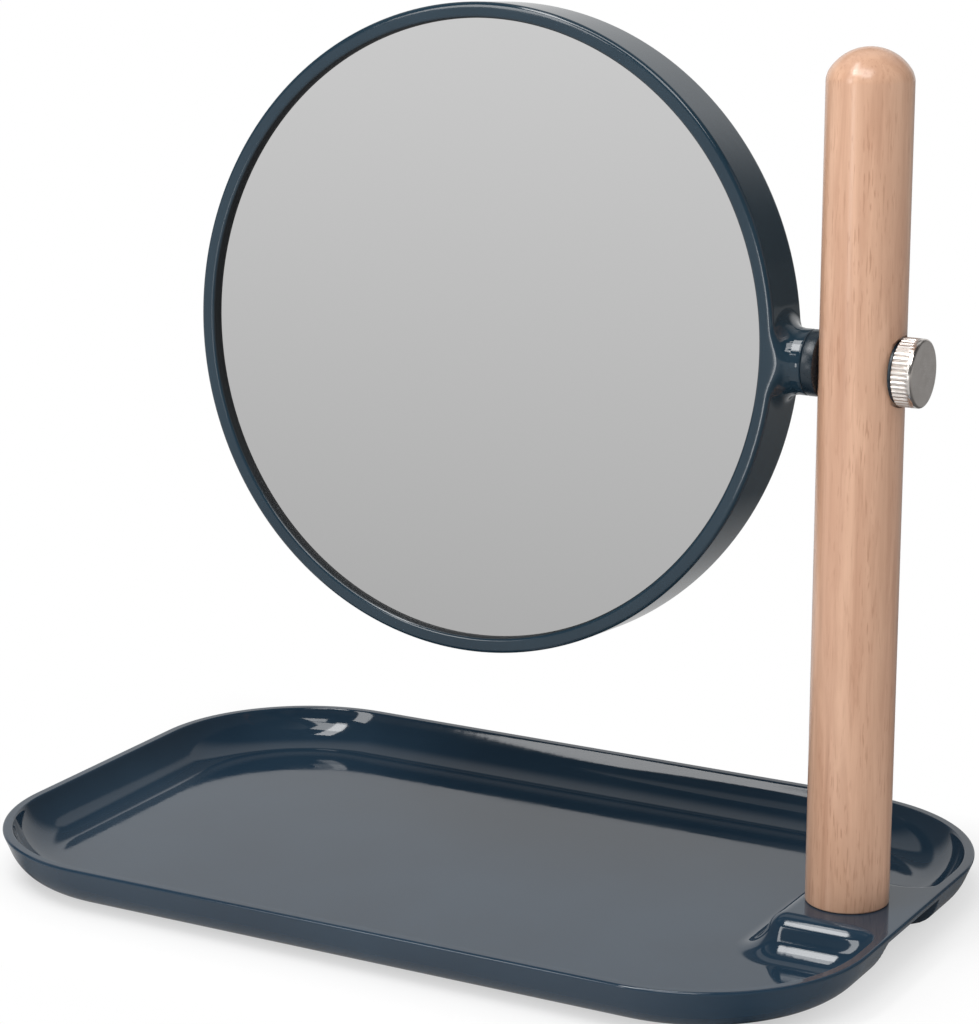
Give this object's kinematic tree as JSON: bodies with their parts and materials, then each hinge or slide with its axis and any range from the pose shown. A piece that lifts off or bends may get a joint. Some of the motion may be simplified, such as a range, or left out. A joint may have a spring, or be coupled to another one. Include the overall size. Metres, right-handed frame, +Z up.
{
  "type": "vanity mirror with tray",
  "caption": "Round tilting vanity mirror on a wooden post, clamped by a knurled thumb screw, over a shallow round-cornered tray for small things.",
  "frame": {"origin": "middle of the tray, on the surface that it stands on", "axes": "+X towards the post, +Y to the back, +Z up; the flat glass faces -Y"},
  "size_m": [0.257, 0.1612, 0.2425],
  "materials": {
    "petrol_plastic": "gloss",
    "foot_rubber": "matte",
    "beech": "satin varnish",
    "zinc_steel": "zinc plated",
    "mirror_glass": "silvered glass",
    "inner_plastic": "matte",
    "brass": "turned",
    "washer_rubber": "satin",
    "nickel": "nickel plated"
  },
  "bodies": {
    "base": {"tray": "petrol_plastic", "tray_feet": "foot_rubber", "post": "beech", "post_screw": "zinc_steel", "post_screw_washer": "zinc_steel", "friction_washer": "washer_rubber"},
    "mirror": {"mirror_frame": "petrol_plastic", "front_mirror": "mirror_glass", "spacer_ring": "inner_plastic", "magnifying_mirror": "mirror_glass", "rear_ring": "petrol_plastic", "pivot_insert": "brass"},
    "washer": {"knob_washer": "washer_rubber"},
    "thumb_screw": {"clamp_stud": "zinc_steel", "thumb_knob": "nickel"}
  },
  "joints": [
    {"name": "mirror_tilt", "type": "hinge", "parent": "base", "child": "mirror", "pos_m": [0.0023, 0, 0.156], "axis": [1, 0, 0], "continuous": true},
    {"name": "screw_travel", "type": "slide", "parent": "base", "child": "washer", "axis": [1, 0, 0], "range_m": [0, 0.0016]},
    {"name": "thumb_screw_turn", "type": "hinge", "parent": "washer", "child": "thumb_screw", "pos_m": [0.1197, 0, 0.156], "axis": [1, 0, 0], "range_deg": [0, 720]}
  ],
  "couplings": [
    {"joint": "thumb_screw_turn", "follows": "screw_travel", "rad_per_m": 7853}
  ]
}
